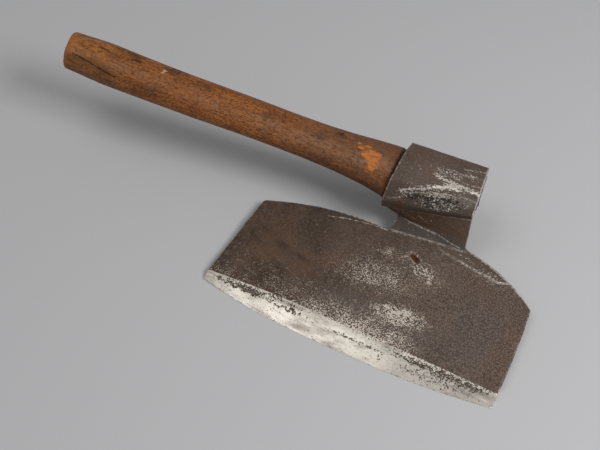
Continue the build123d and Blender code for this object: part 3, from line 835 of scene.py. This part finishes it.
def wood_material(name, bare=0.0):
    """Old ash or hickory, oiled and dirty. The grain runs along the handle."""
    graph = Graph(name)
    along, doubled, short, stretched, very_long = (
        graph.framed(BUTT_CENTRE, HANDLE_TURN, (length, 1.0, 1.0)) for length in (1.0, 2.0, 2.4, 7.0, 26.0)
    )
    ragged = graph.warped(6 * MM, 5 * MM)
    fine_ragged = graph.warped(2.5 * MM, 4.0 * MM)
    s, p, q = (graph.axis(index, along) for index in range(3))

    # Grain
    broad = graph.rise(graph.noise(5.5 * MM, 3.0, 0.6, 0.4, stretched), 0.36, 0.64)
    mottle = graph.cloud(1.6 * MM, 5.0, 0.75, 0.44, 0.60, short)
    pores = graph.cloud(1.1 * MM, 3.0, 0.7, 0.49, 0.62, short)
    hair = graph.cloud(0.8 * MM, 2.0, 0.6, 0.48, 0.66, very_long)
    colour = graph.mix(graph.blend(broad, 0.35, 0.80), WOOD_BROWN, WOOD_ORANGE)
    colour = graph.tint(colour, WOOD_MOTTLE, mottle, 0.65)
    colour = graph.tint(colour, WOOD_LIGHT, hair, 0.52)
    colour = graph.tint(colour, WOOD_PORE, pores, 0.88)

    # Blotches all over, and grime that thickens towards the socket
    blotch = graph.rise(graph.noise(15 * MM, 4.0, 0.65, 0.5, doubled), 0.50, 0.68)
    colour = graph.tint(colour, WOOD_BLOTCH, blotch, 0.65)
    grime_cloud = graph.cloud(9 * MM, 5.0, 0.7, 0.34, 0.60, short)
    grime = graph.times(graph.rise(s, 0.17, 0.29), graph.blend(grime_cloud, 0.30, 0.95))
    colour = graph.tint(colour, WOOD_GRIME, grime, 0.72)

    # Painted sheen: a flaky greyish band along the side away from the poll, and painted shade on the
    # underside
    sheen_band = graph.times(graph.rise(p, -1 * MM, -7 * MM), graph.rise(p, -19 * MM, -12 * MM))
    flaky = graph.cloud(2.4 * MM, 4.0, 0.75, 0.42, 0.58, short)
    patchy = graph.cloud(13 * MM, 3.0, 0.6, 0.32, 0.58, short)
    colour = graph.mix(graph.times(sheen_band, flaky, graph.blend(patchy, 0.25, 0.75)), colour, WOOD_SHEEN_GREY)
    # Painted shade: the underside is darkened
    colour = graph.tint(colour, WOOD_UNDER_SHADE, graph.rise(q, -3 * MM, -13 * MM), 0.75)
    colour = graph.tint(colour, WOOD_CREST, graph.rise(p, 9 * MM, 19 * MM), 0.45)

    # The butt: dark marks, tan wear, a lower flat, the ridge between the flats and the sawn end
    marks = graph.either(graph.patches(WOOD_MARKS, fine_ragged), graph.patches(WOOD_STAINS, ragged))
    colour = graph.tint(colour, WOOD_MARK, marks, 0.85)
    tan = graph.cloud(4 * MM, 5.0, 0.75, 0.44, 0.58, short)
    colour = graph.tint(colour, WOOD_TAN, graph.times(graph.rise(s, 62 * MM, 20 * MM), tan), 0.70)
    lower = graph.times(graph.rise(s, 70 * MM, 30 * MM), graph.rise(p, -10 * MM, -14 * MM))
    colour = graph.tint(colour, WOOD_LOWER, lower, 0.50)
    colour = graph.tint(colour, WOOD_RIDGE, graph.drawn("ridge", 1.3), 0.8)
    colour = graph.tint(colour, WOOD_END, graph.rise(s, 1.5 * MM, -2.5 * MM), 0.75)

    # Bare wood where a chip has come away, and a nick
    chip = graph.patches(CHIP_PATCHES, fine_ragged)
    chip_streaks = graph.cloud(1.3 * MM, 3.0, 0.7, 0.36, 0.56, stretched)
    colour = graph.mix(chip, colour, graph.mix(chip_streaks, CHIP_DARK, CHIP_LIGHT))
    colour = graph.tint(colour, CHIP_PINK, graph.patch(*CHIP_BORDER, place=fine_ragged), 0.6)
    colour = graph.mix(graph.patches(NICK_PATCHES, fine_ragged), colour, NICK_PALE)

    # Painted shade darkening the handle where it goes into the socket's mouth
    mouth = graph.rise(s, HANDLE_LENGTH - 5.3 * MM, HANDLE_LENGTH - 1.8 * MM)
    colour = graph.tint(colour, WOOD_MOUTH_SHADE, mouth, 0.7)
    if bare:
        colour = graph.mix(bare, colour, WOOD_BARE)

    relief = graph.math("SUBTRACT", graph.blend(0.5, hair, broad), graph.times(pores, 0.8))
    relief = graph.math("ADD", relief, graph.times(mottle, 0.5))
    normal = graph.bump(relief, GRAIN_RELIEF, 0.75)
    roughness = graph.math("ADD", graph.blend(mottle, 0.50, 0.38), graph.times(chip, 0.25))
    return graph.finish(colour, roughness, normal, gloss=WOOD_GLOSS)


def wedge_iron_material():
    graph = Graph("wedge_iron")
    ground, clouds = iron_ground(graph)
    rusty = graph.mix(graph.cloud(3 * MM, 3.0, 0.5, 0.42, 0.6), ground, RUST)
    bare = graph.grains(1.2 * MM, 0.35, detail=1.5)
    colour = graph.mix(bare, rusty, WEDGE_IRON)
    normal = graph.bump(graph.noise(1.0 * MM, 3.0, 0.7), 0.12 * MM, 0.7)
    return graph.finish(colour, graph.blend(clouds, 0.50, 0.62), normal, graph.times(bare, 0.5))


# ---------------------------------------------------------------- wear in the shape

def spaced(a, b, step):
    """Points from a to b about a step apart."""
    count = max(1, int((b - a).length / step))
    return [a.lerp(b, k / count) for k in range(count + 1)]


def searchable(points):
    """Points in a tree that finds the nearest one."""
    tree = KDTree(len(points))
    for k, point in enumerate(points):
        tree.insert(point, k)
    tree.balance()
    return tree


def arris_tree(node):
    """The sharp edges of a CAD node, as points close together that can be searched."""
    bm = cad_mesh(node)
    points = []
    for edge in bm.edges:
        if len(edge.link_faces) == 2 and edge.calc_face_angle() > ARRIS_ANGLE:
            a, b = (v.co for v in edge.verts)
            points += spaced(a, b, ARRIS_STEP)
    bm.free()
    return searchable(points)


def distances(tree, points):
    """Each point's distance to the nearest point of a tree."""
    return np.array([tree.find(Vector(p))[2] for p in points])


def surface(node):
    """A CAD node's skin, to measure distances to."""
    bm = cad_mesh(node)
    tree = BVHTree.FromBMesh(bm)
    bm.free()
    return tree


def inside(points, centre, radii, turn):
    """1 at the middle of an ellipsoid given in millimetres, and 0 at its skin."""
    local = points / MM - np.array(centre)
    c, s = math.cos(turn), math.sin(turn)
    local = np.stack([local[:, 0] * c + local[:, 1] * s, local[:, 1] * c - local[:, 0] * s, local[:, 2]], 1)
    return 1.0 - soft_step(0.5, 1.0, np.linalg.norm(local / np.array(radii), axis=1))


def laid_lines(piece, chains):
    """Points close together along several lines, laid on the piece's surface, that can be searched."""
    bm = bmesh.new()
    bm.from_mesh(piece.data)
    skin = BVHTree.FromBMesh(bm)
    bm.free()
    laid = []
    for chain in chains:
        corners = [Vector(corner) * MM for corner in chain]
        for a, b in zip(corners, corners[1:]):
            laid += [skin.find_nearest(point)[0] for point in spaced(a, b, LINE_STEP)]
    return searchable(laid)


def store_lines(piece, lines):
    """Divides the mesh finely along named sets of lines and keeps each point's distance to each set."""
    trees = {name: laid_lines(piece, chains) for name, chains in lines.items()}
    bm = bmesh.new()
    bm.from_mesh(piece.data)
    near = {v for v in bm.verts if min(tree.find(v.co)[2] for tree in trees.values()) < LINE_REACH}
    edges = [e for e in bm.edges if e.verts[0] in near and e.verts[1] in near]
    bmesh.ops.subdivide_edges(bm, edges=edges, cuts=LINE_CUTS, use_grid_fill=True)
    bm.to_mesh(piece.data)
    bm.free()
    for name, tree in trees.items():
        store(piece, name, distances(tree, places(piece)))


def face_height(points):
    """How high the blade's face, carried on over the bevel, lies at each point."""
    return BEVEL_TOP + FACE_SLOPE * (points[:, 1] - BEVEL_TOP_Y)


# Lines where metal has been struck, grazed or folded, and the ridge between two of the handle's flats.
# They are places near the surface, in millimetres.
BLADE_STRUCK = (
    ((-70, 111, 9), (-55, 116, 9), (-40, 119, 9), (-27, 121, 9), (-13, 122, 9)),
    ((108, 118, 9), (116, 114, 9), (124, 109, 9)),
)
STRAP_STRUCK = (
    ((-8, 127, 66), (0, 131, 68), (8, 134, 69), (18, 140, 70), (28, 145, 70), (38, 150, 70)),
    ((15, 152, 73), (27, 152, 71), (38, 153, 70), (49, 154, 68), (58, 154, 67)),
    ((24, 144, 70), (32, 150, 71)),
)
STRAP_RIM = (
    ((52, 185, 66), (54, 177, 68), (56, 169, 68), (57, 161, 68), (58, 154, 66), (57, 148, 57), (57, 143, 46)),
)
STRAP_GRAZED = (
    ((-16, 120, 58), (-6, 125, 60), (1, 129, 62), (12, 132, 59)),
    ((-6, 128, 64), (6, 132, 65), (18, 138, 66)),
    ((30, 158, 72), (42, 158, 71), (54, 161, 68)),
    ((25, 165, 73), (36, 165, 71), (50, 170, 69)),
    ((34, 172, 71), (44, 177, 69), (52, 180, 68)),
    ((12, 160, 73), (20, 155, 73)),
    ((36, 146, 66), (46, 147, 64), (56, 149, 61)),
    ((10, 133, 32), (18, 134, 26)),
    ((3, 133, 29), (9, 133, 25)),
)
STRAP_FOLDS = (
    ((0, 133, 20), (18, 133, 17), (31, 134, 16), (45, 132, 13), (59, 131, 11)),
    ((-13, 122, 10), (-4, 124, 10), (7, 125, 10), (21, 127, 10), (34, 128, 10)),
    ((-11, 131, 25), (-12, 130, 20), (-13, 123, 10)),
    ((64, 133, 10), (76, 130, 10), (88, 126, 10), (98, 122, 10), (106, 119, 10)),
)
HANDLE_RIDGE = (
    ((-338, 106, 101), (-330, 106, 99), (-316, 106, 96), (-304, 106, 93), (-292, 106, 91)),
)


def wear_blade(piece, node, strap_surface):
    """Unevenness from forging, pits on the back, worn arrises and a nicked outline."""
    points = places(piece)
    arris = distances(arris_tree(node), points)
    store(piece, "arris", arris)
    fall = np.clip(face_height(points) - points[:, 2], 0.0, None)
    near_edge = points[:, 1] < BEVEL_BAND_Y
    off_back = points[:, 2] > 0.1 * MM
    store(piece, "fall", np.where(near_edge & off_back, fall, 0.0))
    strap_gap = np.array([strap_surface.find_nearest(Vector(p))[3] for p in points])

    moved = points.copy()
    level = np.stack([points[:, 0], points[:, 1], np.zeros(len(points))], 1)
    raised = soft_step(0.4 * MM, 4.0 * MM, points[:, 2])
    bevel = soft_step(0.1 * MM, 0.6 * MM, fall)
    forged = rough(level, 24 * MM, seed=1.0) * FORGING_DEPTH + rough(level, 5 * MM, seed=2.0) * HAMMER_DEPTH
    moved[:, 2] += raised * forged * (1.0 - 0.8 * bevel)

    on_face = (fall < 0.05 * MM) & (points[:, 2] > 5 * MM)
    rounding = soft_step(1.1 * MM, 0.0, arris) * soft_step(0.3 * MM, 2.5 * MM, strap_gap)
    moved[:, 2] -= np.where(on_face, rounding, 0.0) * ARRIS_WEAR

    back = (points[:, 2] < 0.01 * MM) & (arris > 5 * MM)
    hollows = np.clip(rough(level, 3.2 * MM, seed=3.0) - 0.15, 0.0, None)
    moved[:, 2] += np.where(back, hollows, 0.0) * BACK_PIT_DEPTH

    loose = soft_step(0.5 * MM, 5 * MM, strap_gap)
    for axis in (0, 1):
        moved[:, axis] += rough(level, 9 * MM, octaves=4, seed=4.0 + axis) * OUTLINE_NICKS * loose
    move_points(piece, moved)
    store_lines(piece, {"struck": BLADE_STRUCK})


def wear_strap(piece):
    """Unevenness from forging, and deep pits in the socket's side."""
    points = places(piece)
    store(piece, "arris", distances(arris_tree("eye_strap"), points))
    forged = rough(points, 16 * MM, seed=6.0) * STRAP_FORGING_DEPTH
    forged += rough(points, 4 * MM, seed=7.0) * STRAP_HAMMER_DEPTH
    zone = inside(points, *SOCKET_PIT_ZONE)
    pits = np.clip(rough(points, 2.6 * MM, seed=8.0) + 0.05, 0.0, None) * zone * STRAP_PIT_DEPTH
    off_floor = soft_step(0.5 * MM, 3 * MM, points[:, 2])
    moved = points + normals(piece) * ((forged - pits) * off_floor)[:, None]
    moved[:, 2] = np.clip(moved[:, 2], 0.0, None)
    move_points(piece, moved)
    store_lines(piece, {
        "struck": STRAP_STRUCK, "grazed": STRAP_GRAZED, "folds": STRAP_FOLDS, "rim": STRAP_RIM,
    })


def handle_frame(points):
    """Places along the handle from its butt, towards the poll and up, in metres."""
    poll_way = Vector((-HANDLE_AXIS.y, HANDLE_AXIS.x, 0.0)).normalized()
    up_way = HANDLE_AXIS.cross(poll_way)
    local = points - np.array(BUTT_CENTRE)
    return np.stack([local @ np.array(way) for way in (HANDLE_AXIS, poll_way, up_way)], 1)


def wear_handle(piece):
    """Long waves and grain grooves, the chip and nick, and a gap at the socket's mouth."""
    points = places(piece)
    local = handle_frame(points)
    waves = rough(local / np.array((5.0, 1.0, 1.0)), 11 * MM, octaves=2, seed=9.0) * WOOD_WAVE_DEPTH
    grooves = rough(local / np.array((14.0, 1.0, 1.0)), 2.6 * MM, seed=10.0) * WOOD_GROOVE_DEPTH
    chip = np.maximum(inside(points, *CHIP_HOLLOW), inside(points, *CHIP_LOWER_HOLLOW))
    nick = inside(points, *NICK_HOLLOW)
    shift = waves + grooves - chip * CHIP_DEPTH - nick * NICK_DEPTH
    moved = points + normals(piece) * shift[:, None]

    # The tenon is a loose fit at the mouth, so a dark gap shows
    in_socket = soft_step(HANDLE_LENGTH - 2.2 * MM, HANDLE_LENGTH - 0.6 * MM, local[:, 0])
    near_mouth = local[:, 0] < HANDLE_LENGTH + 30 * MM
    middle = np.outer(local[:, 0], np.array(HANDLE_AXIS)) + np.array(BUTT_CENTRE)
    outward = moved - middle
    outward /= np.maximum(np.linalg.norm(outward, axis=1), 1e-6)[:, None]
    moved -= outward * (in_socket * near_mouth * MOUTH_GAP)[:, None]
    move_points(piece, moved)
    store_lines(piece, {"ridge": HANDLE_RIDGE})


def dress(piece, material):
    """Gives the whole piece one material and smooth shading."""
    piece.data.materials.clear()
    piece.data.materials.append(material)
    for polygon in piece.data.polygons:
        polygon.use_smooth = True
        polygon.material_index = 0


add_camera()
add_stage()

plate = gridded("blade_plate", "blade_plate_worn", GRID_STEP)
steel = gridded("edge_steel", "edge_steel_worn", GRID_STEP)
strap = voxelled("eye_strap", "eye_strap_worn", IRON_VOXEL, 2)
grip = voxelled("handle", "handle_worn", WOOD_VOXEL, 2)
strap_surface = surface("eye_strap")
wear_blade(plate, "blade_plate", strap_surface)
wear_blade(steel, "edge_steel", strap_surface)
wear_strap(strap)
wear_handle(grip)

blade_iron = blade_material()
for piece in (plate, steel):
    dress(piece, blade_iron)
    piece.data.set_sharp_from_angle(angle=SHARP_ANGLE)
dress(strap, strap_material())
dress(grip, wood_material("handle_wood"))

wood_wedge = voxelled("wood_wedge", "wood_wedge_worn", WOOD_WEDGE_VOXEL, 2)
iron_wedge = voxelled("iron_wedge", "iron_wedge_worn", IRON_WEDGE_VOXEL, 1)
# The wedge lies far from the handle's ridge, but its material reads the distance too
store_lines(wood_wedge, {"ridge": HANDLE_RIDGE})
dress(wood_wedge, wood_material("wedge_wood", 0.75))
dress(iron_wedge, wedge_iron_material())
